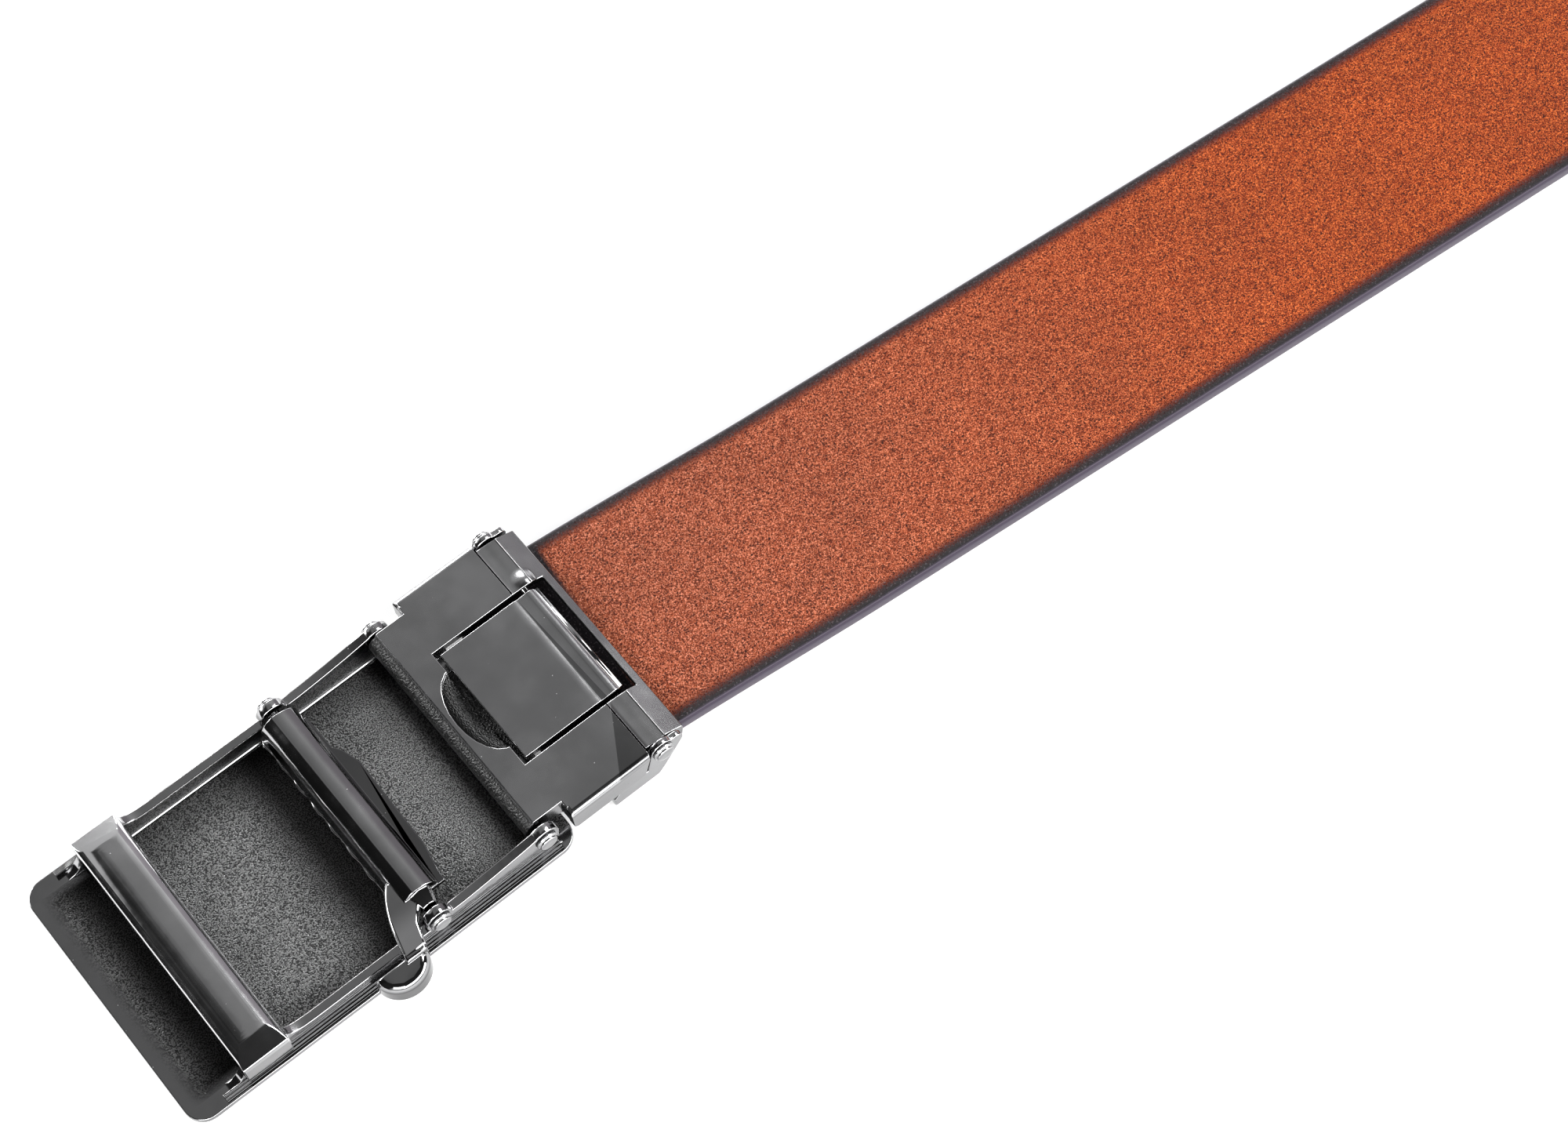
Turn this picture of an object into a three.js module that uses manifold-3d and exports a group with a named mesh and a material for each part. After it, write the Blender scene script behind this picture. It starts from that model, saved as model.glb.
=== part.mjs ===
// Ratchet belt lying face down: buckle and strap seen from the wearer's side.
// Millimetres. +X runs along the belt from the buckle to the strap's tip, +Y across it, +Z up.
// The origin lies under the clamp's front plate, on the buckle's middle line and the surface under the belt.
import * as THREE from "three";
import { mergeVertices } from "three/addons/utils/BufferGeometryUtils.js";
import Module from "manifold-3d";

const wasm = await Module();
wasm.setup();

// Strap
const strapWidth = 35;
const strapThickness = 3;
const strapInsert = 15.5;
const strapFreeLength = 181;
const strapYaw = THREE.MathUtils.degToRad(5.2);
const strapSettleLength = 38;
const strapEdgeRadius = 0.9;
const strapTipLength = 19;

// Clearances
const restGap = 0.25;
const pinGap = 0.25;
const sideGap = 0.35;
const toothGap = 0.3;
const pawlSideGap = 0.95;
const neckSideGap = 0.5;
const passageSideGap = 1.05;
const trackAllowance = 1.15;

// Pins and their riveted heads
const pinRadius = 0.6;
const headRadius = 1.65;
const headHeight = 0.75;

// Clamp: front plate under the strap, shell over it
const frontLength = 7.4;
const frontThickness = 1;
const earThickness = 0.9;
const earRadius = 2.1;
const flapPinX = 5;
const noseRadius = 1.1;
const noseInset = 0.85;
const mouthReach = 4.3;
const shellRise = 1.4;
const shellThickness = 1.4;
const shellWall = 1;
const shellWallFoot = 3.3;
const shellChamfer = 0.5;
const flangeWall = 1.3;
const flangeSideGap = 0.75;
const flangeStart = 4.3;
const flangeRound = 1;
const mouthSlope = 3;
const mouthDrop = 1.5;
const rollLength = 4;
const rollDrop = 0.35;
const creaseRise = 0.1;
const clampOffset = 0.25;
const endBlockLength = 6.2;
const endBlockDrop = 1.1;
const windowHalfWidth = 10.6;
const windowStart = 4;
const notchHalfWidth = 7.3;
const notchReach = 3.6;
const notchDepth = 2.8;

// Locking flap
const flapThickness = 1.2;
const flapInset = 0.1;
const flapSideGap = 0.8;
const flapEndGap = 0.7;
const flapBarrelRadius = 1.25;
const flapToothReach = 0.5;
const flapDip = 0.2;

// Hinge between clamp and face plate
const hingeToFlapPin = 19.7;
const hingeDrop = 0.9;
const hingeBarrelRadius = 1.85;
const hingeEarRadius = 2.2;

// Face plate, cast with its side walls and its tip loop
const plateReach = 59;
const plateOverhang = 4.4;
const plateThickness = 1;
const plateBow = 0.35;
const plateCorner = 3;
const rimWidth = 1.3;
const wallThickness = 1.4;
const loopInset = 9;
const loopWidth = 7.2;
const loopThickness = 2;
const loopStandOut = 0.65;
const loopEndReach = 5;
const loopEndDrop = 1.3;

// Ratchet pawl and its release lever
const pawlToHinge = 17.7;
const pawlRise = 0.15;
const pawlHalfWidth = 2.85;
const pawlCrown = 2.15;
const pawlUnderside = 1.25;
const pawlToothReach = 3.35;
const pawlToothDrop = 1.9;
const bladeReach = 5.15;
const bladeThickness = 0.8;
const leverThickness = 1.9;
const leverRound = 0.45;
const buttonHalfWidth = 4.1;
const buttonDepth = 3.7;
const buttonThickness = 3.5;
const buttonRound = 1.2;

// Heights that follow from the strap
const strapUnderside = frontThickness + restGap;
const strapTop = strapUnderside + strapThickness;
const flapPinHeight = strapTop + toothGap + flapToothReach + flapBarrelRadius;
const shellTopHeight = flapPinHeight + shellRise;
const shellCeiling = shellTopHeight - shellThickness;
const hingePinHeight = flapPinHeight - hingeDrop;
const endBlockFoot = hingePinHeight - endBlockDrop;
const loopPassage = strapThickness + trackAllowance;
const pawlPinHeight = plateThickness + loopPassage + pawlRise;
const railHeight = pawlPinHeight - 0.52 * earRadius;
const loopUnderside = loopPassage + plateThickness + 0.55 * plateBow;
const loopCrown = loopUnderside + loopThickness;
const loopShoulder = loopUnderside + 0.3 * loopThickness;

// Places along the belt
const mouthX = flapPinX + mouthReach;
const creaseX = mouthX - mouthSlope;
const noseX = mouthX - noseInset - noseRadius;
const hingeX = flapPinX - hingeToFlapPin;
const frontLeft = -frontLength / 2;
const frontRight = frontLength / 2;
const shellLeft = hingeX - 0.15 * hingeBarrelRadius;
const flangeLeft = hingeX + flangeStart;
const flangeRight = flapPinX - earRadius - restGap;
const neckEnd = flangeRight - 0.5 * earRadius;
const windowLeft = hingeX + windowStart;
const windowRight = mouthX - 0.4 * mouthSlope;
const plateLeft = -plateReach;
const plateRight = plateOverhang;
const loopLeft = plateLeft + loopInset;
const loopRight = loopLeft + loopWidth;
const pawlX = -pawlToHinge;

// Half widths: the strap lies askew in the mouth, and the walls leave it room.
const skew = Math.tan(strapYaw);
const skewedHalf = strapWidth / 2 / Math.cos(strapYaw);
const mouthDrift = (skew * (mouthX - neckEnd)) / 2;
const mouthInnerHalf = skewedHalf + mouthDrift + sideGap;
const mouthOuterHalf = mouthInnerHalf + shellWall;
const flangeInnerHalf = skewedHalf + skew * strapInsert - mouthDrift + flangeSideGap;
const flangeOuterHalf = flangeInnerHalf + flangeWall;
const earInnerHalf = mouthOuterHalf + restGap;
const earOuterHalf = earInnerHalf + earThickness;
const wallInnerHalf = strapWidth / 2 + passageSideGap;
const wallOuterHalf = wallInnerHalf + wallThickness;
const plateHalfWidth = wallOuterHalf + rimWidth;
const loopOuterHalf = wallOuterHalf + loopStandOut;
const neckHalfWidth = wallInnerHalf - neckSideGap;
const pawlHalfLength = wallInnerHalf - pawlSideGap;

// Cutting tools reach this far past what they cut.
const past = 1;

// A closed geometry becomes a solid that can be joined and cut.
function solid(geometry) {
  const bare = geometry.clone();
  bare.deleteAttribute("normal");
  bare.deleteAttribute("uv");
  const merged = mergeVertices(bare, 1e-4);
  return new wasm.Manifold(
    new wasm.Mesh({
      numProp: 3,
      vertProperties: merged.attributes.position.array,
      triVerts: new Uint32Array(merged.index.array),
    }),
  );
}

// The finished solid goes back to a geometry.
function geometryOf(made) {
  const mesh = made.getMesh();
  const geometry = new THREE.BufferGeometry();
  geometry.setAttribute("position", new THREE.BufferAttribute(mesh.vertProperties, 3));
  geometry.setIndex(new THREE.BufferAttribute(mesh.triVerts, 1));
  geometry.computeVertexNormals();
  return geometry;
}

// A side view in X and Z, as thick as the stretch of Y.
function sideSolid(shape, fromY, toY, curveSegments = 10) {
  const options = { depth: toY - fromY, bevelEnabled: false, curveSegments };
  const geometry = new THREE.ExtrudeGeometry(shape, options);
  geometry.rotateX(Math.PI / 2);
  geometry.translate(0, toY, 0);
  return solid(geometry);
}

// A plan in X and Y, as high as the stretch of Z.
function planSolid(shape, fromZ, toZ, curveSegments = 10) {
  const options = { depth: toZ - fromZ, bevelEnabled: false, curveSegments };
  const geometry = new THREE.ExtrudeGeometry(shape, options);
  geometry.translate(0, 0, fromZ);
  return solid(geometry);
}

// An end view in Y and Z, as long as the stretch of X.
function endSolid(shape, fromX, toX, curveSegments = 6) {
  const options = { depth: toX - fromX, bevelEnabled: false, curveSegments };
  const geometry = new THREE.ExtrudeGeometry(shape, options);
  geometry.rotateX(Math.PI / 2);
  geometry.rotateZ(Math.PI / 2);
  geometry.translate(fromX, 0, 0);
  return solid(geometry);
}

// A plan like planSolid's, with its edges rounded over.
function softPlanSolid(shape, fromZ, toZ, rounding, curveSegments = 10) {
  const options = {
    depth: toZ - fromZ - 2 * rounding,
    bevelThickness: rounding,
    bevelSize: rounding,
    bevelOffset: -rounding,
    bevelSegments: 5,
    curveSegments,
  };
  const geometry = new THREE.ExtrudeGeometry(shape, options);
  geometry.translate(0, 0, fromZ + rounding);
  return solid(geometry);
}

function boxSolid(fromX, toX, fromY, toY, fromZ, toZ) {
  const geometry = new THREE.BoxGeometry(toX - fromX, toY - fromY, toZ - fromZ);
  geometry.translate((fromX + toX) / 2, (fromY + toY) / 2, (fromZ + toZ) / 2);
  return solid(geometry);
}

// A round bar along Y.
function barSolid(radius, x, z, halfLength, segments = 20) {
  const geometry = new THREE.CylinderGeometry(radius, radius, 2 * halfLength, segments);
  geometry.translate(x, 0, z);
  return solid(geometry);
}

function outline(points) {
  return new THREE.Shape(points.map(([x, y]) => new THREE.Vector2(x, y)));
}

function roundedRectangle(fromX, toX, halfWidth, radius) {
  const shape = new THREE.Shape();
  shape.moveTo(fromX + radius, -halfWidth);
  shape.lineTo(toX - radius, -halfWidth);
  shape.absarc(toX - radius, -halfWidth + radius, radius, -Math.PI / 2, 0, false);
  shape.absarc(toX - radius, halfWidth - radius, radius, 0, Math.PI / 2, false);
  shape.absarc(fromX + radius, halfWidth - radius, radius, Math.PI / 2, Math.PI, false);
  shape.absarc(fromX + radius, -halfWidth + radius, radius, Math.PI, Math.PI * 1.5, false);
  return shape;
}

function metal(color, roughness) {
  return new THREE.MeshStandardMaterial({ color, roughness, metalness: 1 });
}

function named(name, geometry, material) {
  const mesh = new THREE.Mesh(geometry, material);
  mesh.name = name;
  return mesh;
}

// Pin along Y with a domed rivet head outside each ear.
function rivetedPin(earHalf) {
  const inner = earHalf + 0.6 * restGap;
  const outer = inner + headHeight;
  const profile = [
    [0, -outer],
    [0.55 * headRadius, -outer + 0.08 * headHeight],
    [0.88 * headRadius, -outer + 0.4 * headHeight],
    [headRadius, -inner],
    [pinRadius, -inner],
    [pinRadius, inner],
    [headRadius, inner],
    [0.88 * headRadius, outer - 0.4 * headHeight],
    [0.55 * headRadius, outer - 0.08 * headHeight],
    [0, outer],
  ];
  return new THREE.LatheGeometry(
    profile.map(([x, y]) => new THREE.Vector2(x, y)),
    20,
  );
}

// Face plate. X is counted from the hinge pin, Z from the surface.

// Height of the plate's underside, bowed along its length.
function bowAt(x) {
  const middle = (plateLeft + plateRight) / 2;
  const half = (plateRight - plateLeft) / 2;
  return plateBow * ((x - middle) / half) ** 2;
}

function bowedSlab() {
  const steps = 14;
  const step = (plateRight - plateLeft) / steps;
  const stations = Array.from({ length: steps + 1 }, (_, i) => plateLeft + step * i);
  const lower = stations.map((x) => [x, bowAt(x)]);
  const upper = [...stations].reverse().map((x) => [x, bowAt(x) + plateThickness]);
  const slab = sideSolid(outline([...lower, ...upper]), -plateHalfWidth, plateHalfWidth);
  const plan = roundedRectangle(plateLeft, plateRight, plateHalfWidth, plateCorner);
  return slab.intersect(planSolid(plan, -past, loopCrown, 6));
}

// Side view of one wall: swoop, loop pillar, low rail, pawl ear, saddle and hinge ear.
function wallOutline() {
  const root = 0.6 * plateThickness;
  const swoopStart = loopLeft - 0.4 * loopWidth;
  const railStart = loopRight + 0.7 * loopWidth;
  const saddle = pawlPinHeight + 0.05 * earRadius;
  const saddleLow = pawlX + 3 * earRadius;
  const shape = new THREE.Shape();
  shape.moveTo(swoopStart, root);
  shape.lineTo(swoopStart, bowAt(swoopStart) + plateThickness);
  shape.quadraticCurveTo(loopLeft, 0.4 * railHeight, loopLeft + 0.1 * loopWidth, loopShoulder);
  shape.lineTo(loopRight, loopShoulder);
  shape.quadraticCurveTo(loopRight + 0.1 * loopWidth, railHeight, railStart, railHeight);
  const railMeetsEar = Math.PI + Math.asin(0.52);
  shape.absarc(pawlX, pawlPinHeight, earRadius, railMeetsEar, Math.asin(0.05), true);
  shape.quadraticCurveTo(saddleLow, saddle, ...earPoint(0, hingePinHeight, hingeEarRadius, 130));
  shape.absarc(0, hingePinHeight, hingeEarRadius, THREE.MathUtils.degToRad(130), -0.35, true);
  shape.lineTo(0.9 * hingeEarRadius, root);
  return shape;
}

function earPoint(x, z, radius, degrees) {
  const angle = THREE.MathUtils.degToRad(degrees);
  return [x + radius * Math.cos(angle), z + radius * Math.sin(angle)];
}

// End view of the loop, whose crown falls to a flat shoulder at each side.
function loopEndView() {
  const bend = loopOuterHalf - 0.6 * loopEndReach;
  const control = loopOuterHalf - 0.8 * loopEndReach;
  const level = loopOuterHalf - 1.2 * loopEndReach;
  const low = loopCrown - loopEndDrop;
  const high = loopCrown - 0.25 * loopEndDrop;
  const shape = new THREE.Shape();
  shape.moveTo(-loopOuterHalf, 0);
  shape.lineTo(loopOuterHalf, 0);
  shape.lineTo(loopOuterHalf, low);
  shape.lineTo(bend, high);
  shape.quadraticCurveTo(control, loopCrown, level, loopCrown);
  shape.lineTo(-level, loopCrown);
  shape.quadraticCurveTo(-control, loopCrown, -bend, high);
  shape.lineTo(-loopOuterHalf, low);
  return shape;
}

// Half-round bar over the passage for the strap's tip, on a pillar at each side.
function tipLoop() {
  const root = 0.6 * plateThickness;
  const rise = [loopLeft + 0.02 * loopWidth, loopUnderside + 0.75 * loopThickness];
  const level = [loopLeft + 0.3 * loopWidth, loopCrown];
  const crown = [loopLeft + 0.6 * loopWidth, loopCrown];
  const shape = new THREE.Shape();
  shape.moveTo(loopLeft, root);
  shape.lineTo(loopLeft, loopShoulder);
  shape.bezierCurveTo(...rise, ...level, ...crown);
  shape.quadraticCurveTo(loopRight - 0.1 * loopWidth, loopCrown, loopRight, loopShoulder);
  shape.lineTo(loopRight, root);
  const left = loopLeft - past;
  const right = loopRight + past;
  return sideSolid(shape, -loopOuterHalf, loopOuterHalf, 12)
    .intersect(endSolid(loopEndView(), left, right))
    .subtract(boxSolid(left, right, -wallInnerHalf, wallInnerHalf, -past, loopUnderside));
}

// Room for a pin right across the belt.
function pinHole(x, z) {
  return barSolid(pinRadius + pinGap, x, z, plateHalfWidth + past);
}

function facePlate() {
  const wall = wallOutline();
  return bowedSlab()
    .add(sideSolid(wall, wallInnerHalf, wallOuterHalf))
    .add(sideSolid(wall, -wallOuterHalf, -wallInnerHalf))
    .add(tipLoop())
    .subtract(pinHole(pawlX, pawlPinHeight))
    .subtract(pinHole(0, hingePinHeight));
}

// Ratchet pawl. X and Z are counted from its pin.

// Barrel with a ridge left of its middle and a tooth along its lower left edge.
function pawlBarrel() {
  const ridge = [-0.26 * pawlHalfWidth, pawlCrown];
  const brow = [0.84 * pawlHalfWidth, 0.45 * pawlCrown];
  const shape = new THREE.Shape();
  shape.moveTo(-pawlToothReach, -pawlToothDrop);
  shape.lineTo(-pawlHalfWidth, 0.1 * pawlCrown);
  shape.quadraticCurveTo(-0.75 * pawlHalfWidth, 0.74 * pawlCrown, ...ridge);
  shape.quadraticCurveTo(0.5 * pawlHalfWidth, 0.94 * pawlCrown, ...brow);
  shape.lineTo(pawlHalfWidth, 0.1 * pawlCrown);
  shape.lineTo(pawlHalfWidth, -pawlUnderside);
  shape.lineTo(-0.55 * pawlHalfWidth, -pawlUnderside);
  const capLength = 0.13 * pawlHalfLength;
  const bar = sideSolid(shape, -pawlHalfLength + capLength, pawlHalfLength, 12);
  const cap = new THREE.CylinderGeometry(0.95 * pawlCrown, 0.55 * pawlCrown, capLength * 1.2, 8);
  cap.translate(0, -pawlHalfLength + 0.6 * capLength, 0);
  return bar.add(solid(cap));
}

// Flat blade along the barrel's far side, widest in the middle.
function pawlBlade() {
  const inside = 0.5 * pawlHalfWidth;
  const plan = outline([
    [inside, -0.88 * pawlHalfLength],
    [0.77 * bladeReach, -0.88 * pawlHalfLength],
    [0.79 * bladeReach, -0.8 * pawlHalfLength],
    [0.95 * bladeReach, -0.53 * pawlHalfLength],
    [bladeReach, 0.33 * pawlHalfLength],
    [0.83 * bladeReach, 0.49 * pawlHalfLength],
    [0.67 * bladeReach, 0.56 * pawlHalfLength],
    [0.64 * bladeReach, 0.9 * pawlHalfLength],
    [inside, 0.9 * pawlHalfLength],
  ]);
  return planSolid(plan, -pawlUnderside, -pawlUnderside + bladeThickness);
}

// Claw-shaped lever over the low side wall, with a half-disc button outside it.
function releaseLever() {
  const bottom = railHeight + restGap - pawlPinHeight;
  const top = bottom + leverThickness;
  const clear = earRadius + sideGap;
  const clawEnd = -plateHalfWidth - 0.3 * buttonDepth;
  const elbow = [-2.1 * pawlHalfWidth, -0.85 * pawlHalfLength];
  const claw = new THREE.Shape();
  claw.moveTo(-pawlHalfWidth, -0.65 * pawlHalfLength);
  claw.quadraticCurveTo(...elbow, -2.45 * pawlHalfWidth, clawEnd);
  claw.lineTo(-1.3 * pawlHalfWidth, clawEnd);
  claw.lineTo(-clear, -wallInnerHalf);
  claw.lineTo(-0.1 * pawlHalfWidth, -0.9 * pawlHalfLength);
  claw.lineTo(-0.1 * pawlHalfWidth, -0.7 * pawlHalfLength);
  return softPlanSolid(claw, bottom, top, leverRound, 8).add(button(top - 0.3 * leverThickness));
}

// Half-disc outside the wall for the thumb, rounded over at its upper edge.
function button(top) {
  const middle = -1.3 * pawlHalfWidth - buttonHalfWidth;
  const flat = -plateHalfWidth - sideGap;
  const spring = top - buttonRound;
  const profile = new THREE.Path();
  profile.moveTo(0, top - buttonThickness);
  profile.lineTo(buttonHalfWidth, top - buttonThickness);
  profile.lineTo(buttonHalfWidth, spring);
  profile.absarc(buttonHalfWidth - buttonRound, spring, buttonRound, 0, Math.PI / 2, false);
  profile.lineTo(0, top);
  const disc = new THREE.LatheGeometry(profile.getPoints(8), 48);
  disc.rotateX(Math.PI / 2);
  disc.scale(1, buttonDepth / buttonHalfWidth, 1);
  disc.translate(middle, flat, 0);
  const reach = 2 * buttonHalfWidth;
  const inside = boxSolid(middle - reach, middle + reach, flat, flat + reach, -reach, reach);
  return solid(disc).subtract(inside);
}

function ratchetPawl() {
  return pawlBarrel()
    .add(pawlBlade())
    .add(releaseLever())
    .subtract(pinHole(0, 0));
}

// Clamp shell

// Side view of the whole shell: barrel end, top and sloped mouth.
function shellProfile() {
  const barrelEnd = Math.PI + Math.asin(0.55);
  const shape = new THREE.Shape();
  shape.moveTo(shellLeft, shellTopHeight);
  shape.lineTo(shellLeft, hingePinHeight + 0.9 * hingeBarrelRadius);
  shape.absarc(hingeX, hingePinHeight, hingeBarrelRadius, Math.PI / 2, barrelEnd, false);
  shape.lineTo(hingeX, endBlockFoot);
  shape.lineTo(hingeX + shellChamfer, shellWallFoot);
  shape.lineTo(mouthX - 0.1 * mouthSlope, shellWallFoot);
  shape.lineTo(mouthX, shellTopHeight - mouthDrop - 0.8 * shellThickness);
  shape.lineTo(mouthX, shellTopHeight - mouthDrop);
  shape.lineTo(creaseX + creaseRise, shellTopHeight - rollDrop + creaseRise);
  shape.lineTo(creaseX, shellTopHeight - rollDrop);
  const rollStart = creaseX - rollLength;
  shape.quadraticCurveTo(creaseX - rollLength / 2, shellTopHeight, rollStart, shellTopHeight);
  return shape;
}

// Side view of the bulged flange between the neck and the ears.
function flangeProfile() {
  return outline([
    [flangeLeft, shellWallFoot + shellChamfer],
    [flangeLeft + shellChamfer, shellWallFoot],
    [flangeRight - 0.45 * earRadius, shellWallFoot],
    [flangeRight + 0.2 * earRadius, shellTopHeight],
    [flangeLeft + shellChamfer, shellTopHeight],
    [flangeLeft, shellTopHeight - shellChamfer],
  ]);
}

// End view that rounds the flange's upper edges.
function roundedEnd() {
  const side = flangeOuterHalf - flangeRound;
  const spring = shellTopHeight - flangeRound;
  const shape = new THREE.Shape();
  shape.moveTo(-flangeOuterHalf, 0);
  shape.lineTo(flangeOuterHalf, 0);
  shape.absarc(side, spring, flangeRound, 0, Math.PI / 2, false);
  shape.absarc(-side, spring, flangeRound, Math.PI / 2, Math.PI, false);
  return endSolid(shape, hingeX - 2 * hingeBarrelRadius, mouthX + past, 8);
}

function shellBody() {
  const left = hingeX - 2 * hingeBarrelRadius;
  const step = flangeLeft + 0.4 * shellChamfer;
  const plan = outline([
    [left, -neckHalfWidth],
    [step, -neckHalfWidth],
    [step, -mouthOuterHalf],
    [mouthX, -mouthOuterHalf],
    [mouthX, mouthOuterHalf],
    [step, mouthOuterHalf],
    [step, neckHalfWidth],
    [left, neckHalfWidth],
  ]);
  const side = sideSolid(shellProfile(), -mouthOuterHalf, mouthOuterHalf);
  const core = side.intersect(planSolid(plan, 0, shellTopHeight));
  const flange = sideSolid(flangeProfile(), -flangeOuterHalf, flangeOuterHalf);
  return core.add(flange).intersect(roundedEnd());
}

// The hollow that takes the strap, lower where the mouth slopes.
function shellHollow() {
  const blockEnd = hingeX + endBlockLength;
  const half = flangeInnerHalf;
  const profile = outline([
    [blockEnd, 0],
    [mouthX + past, 0],
    [mouthX + past, shellCeiling - mouthDrop * (1 + past / mouthSlope)],
    [creaseX, shellCeiling],
    [blockEnd, shellCeiling],
  ]);
  const wide = boxSolid(blockEnd, neckEnd, -half, half, 0, shellCeiling);
  const narrow = sideSolid(profile, -mouthInnerHalf, mouthInnerHalf);
  const underBlock = boxSolid(hingeX - 3 * hingeBarrelRadius, neckEnd, -half, half, 0, endBlockFoot);
  return wide.add(narrow).add(underBlock);
}

// Window for the flap, with a dished thumb notch at its free edge.
function windowCut() {
  const floor = endBlockFoot + 0.35 * notchDepth;
  const half = windowHalfWidth;
  const opening = boxSolid(windowLeft, windowRight, -half, half, floor, shellTopHeight + past);
  const dish = new THREE.SphereGeometry(1, 24, 12);
  dish.scale(notchReach * 1.17, notchHalfWidth, notchDepth);
  dish.translate(windowLeft + 0.17 * notchReach, 0, shellTopHeight + 0.03 * notchDepth);
  return opening.add(solid(dish));
}

function clampShell() {
  return shellBody()
    .subtract(shellHollow())
    .subtract(windowCut())
    .subtract(pinHole(hingeX, hingePinHeight))
    .subtract(pinHole(flapPinX, flapPinHeight));
}

// Clamp front plate with an ear at each side that holds the flap's pin.
function earProfile() {
  const under = shellWallFoot - restGap;
  const knuckle = 0.9 * earRadius;
  const noseFoot = earPoint(noseX, flapPinHeight, noseRadius, -35);
  const shape = new THREE.Shape();
  shape.moveTo(frontLeft, 0);
  shape.lineTo(frontRight, 0);
  shape.quadraticCurveTo(frontRight + 0.25 * earRadius, 0, ...noseFoot);
  shape.absarc(noseX, flapPinHeight, noseRadius, THREE.MathUtils.degToRad(-35), Math.PI / 2, false);
  shape.lineTo(...earPoint(flapPinX, flapPinHeight, knuckle, 38));
  shape.absarc(flapPinX, flapPinHeight, knuckle, THREE.MathUtils.degToRad(38), Math.PI * 0.9, false);
  shape.lineTo(flangeRight - 0.2 * earRadius, under);
  shape.lineTo(frontLeft + 0.6 * earRadius, under);
  shape.lineTo(frontLeft, 1.6 * frontThickness);
  return shape;
}

function clampFront() {
  const ear = earProfile();
  const plan = roundedRectangle(frontLeft, mouthX, earOuterHalf, 0.3 * earThickness);
  return boxSolid(frontLeft, frontRight, -earOuterHalf, earOuterHalf, 0, frontThickness)
    .add(sideSolid(ear, earInnerHalf, earOuterHalf))
    .add(sideSolid(ear, -earOuterHalf, -earInnerHalf))
    .intersect(planSolid(plan, -past, shellTopHeight + past, 5))
    .subtract(pinHole(flapPinX, flapPinHeight));
}

// Locking flap. X and Z are counted from its pin.
function camFlap() {
  const halfWidth = windowHalfWidth - flapSideGap;
  const top = shellRise - flapInset;
  const freeEnd = windowLeft + flapEndGap - flapPinX;
  const tooth = flapBarrelRadius + flapToothReach;
  const shape = new THREE.Shape();
  shape.moveTo(freeEnd, top - flapThickness);
  shape.lineTo(-0.9 * flapBarrelRadius, top - flapThickness);
  shape.lineTo(-0.62 * flapBarrelRadius, -0.78 * flapBarrelRadius);
  shape.lineTo(-0.4 * flapBarrelRadius, -tooth);
  shape.lineTo(0, -0.97 * flapBarrelRadius);
  shape.lineTo(0.3 * flapBarrelRadius, -tooth);
  shape.absarc(0, 0, flapBarrelRadius, -Math.PI * 0.28, Math.PI * 0.58, false);
  shape.quadraticCurveTo(-0.8 * flapBarrelRadius, top - flapDip, -1.6 * flapBarrelRadius, top - flapDip);
  shape.quadraticCurveTo(-2 * flapBarrelRadius, top, -2.8 * flapBarrelRadius, top);
  shape.lineTo(freeEnd, top);
  return sideSolid(shape, -halfWidth, halfWidth).subtract(pinHole(0, 0));
}

// Strap. X is counted along it from the clamp's mouth, Z from the surface.

// Height of the strap's underside: it leaves the clamp and comes down to the surface.
function strapHeight(x) {
  const share = THREE.MathUtils.clamp(x / strapSettleLength, 0, 1);
  return strapUnderside * (1 - share * share * (3 - 2 * share));
}

// Half width at a place along the strap, drawn in to a round tip.
function strapHalfWidth(x) {
  const intoTip = Math.max(0, x - (strapFreeLength - strapTipLength)) / strapTipLength;
  return (strapWidth / 2) * Math.sqrt(Math.max(0, 1 - intoTip ** 2.4));
}

function strapStations() {
  const straight = strapFreeLength - strapTipLength;
  const stations = [-strapInsert, 0];
  const settleSteps = 8;
  for (let i = 1; i <= settleSteps; i++) {
    stations.push((strapSettleLength * i) / settleSteps);
  }
  stations.push((strapSettleLength + straight) / 2, straight);
  const tipShares = [0.25, 0.45, 0.62, 0.75, 0.85, 0.92, 0.97, 0.995];
  tipShares.forEach((share) => stations.push(straight + strapTipLength * share));
  return stations;
}

// Cross-section at a station: flat faces with rounded, painted edges.
function strapSection(x) {
  const half = strapHalfWidth(x);
  const radius = Math.min(strapEdgeRadius, 0.45 * strapThickness);
  const points = [];
  const corners = [
    [1, 1, 0],
    [-1, 1, 90],
    [-1, -1, 180],
    [1, -1, 270],
  ];
  corners.forEach(([sideY, sideZ, start]) => {
    [0, 45, 90].forEach((turn) => {
      const angle = THREE.MathUtils.degToRad(start + turn);
      const y = sideY * (half - radius) + radius * Math.cos(angle);
      const z = strapThickness / 2 + sideZ * (strapThickness / 2 - radius) + radius * Math.sin(angle);
      points.push([x, y, z + strapHeight(x)]);
    });
  });
  return points;
}

// Skin over a row of sections with as many points each, closed at both ends.
function loft(sections) {
  const count = sections[0].length;
  const position = sections.flat(2);
  const index = [];
  for (let s = 0; s < sections.length - 1; s++) {
    for (let i = 0; i < count; i++) {
      const a = s * count + i;
      const b = s * count + ((i + 1) % count);
      index.push(a, b, b + count, a, b + count, a + count);
    }
  }
  const last = (sections.length - 1) * count;
  for (let i = 1; i < count - 1; i++) {
    index.push(0, i + 1, i, last, last + i, last + i + 1);
  }
  const geometry = new THREE.BufferGeometry();
  geometry.setAttribute("position", new THREE.Float32BufferAttribute(position, 3));
  geometry.setIndex(index);
  geometry.computeVertexNormals();
  return geometry;
}

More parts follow.
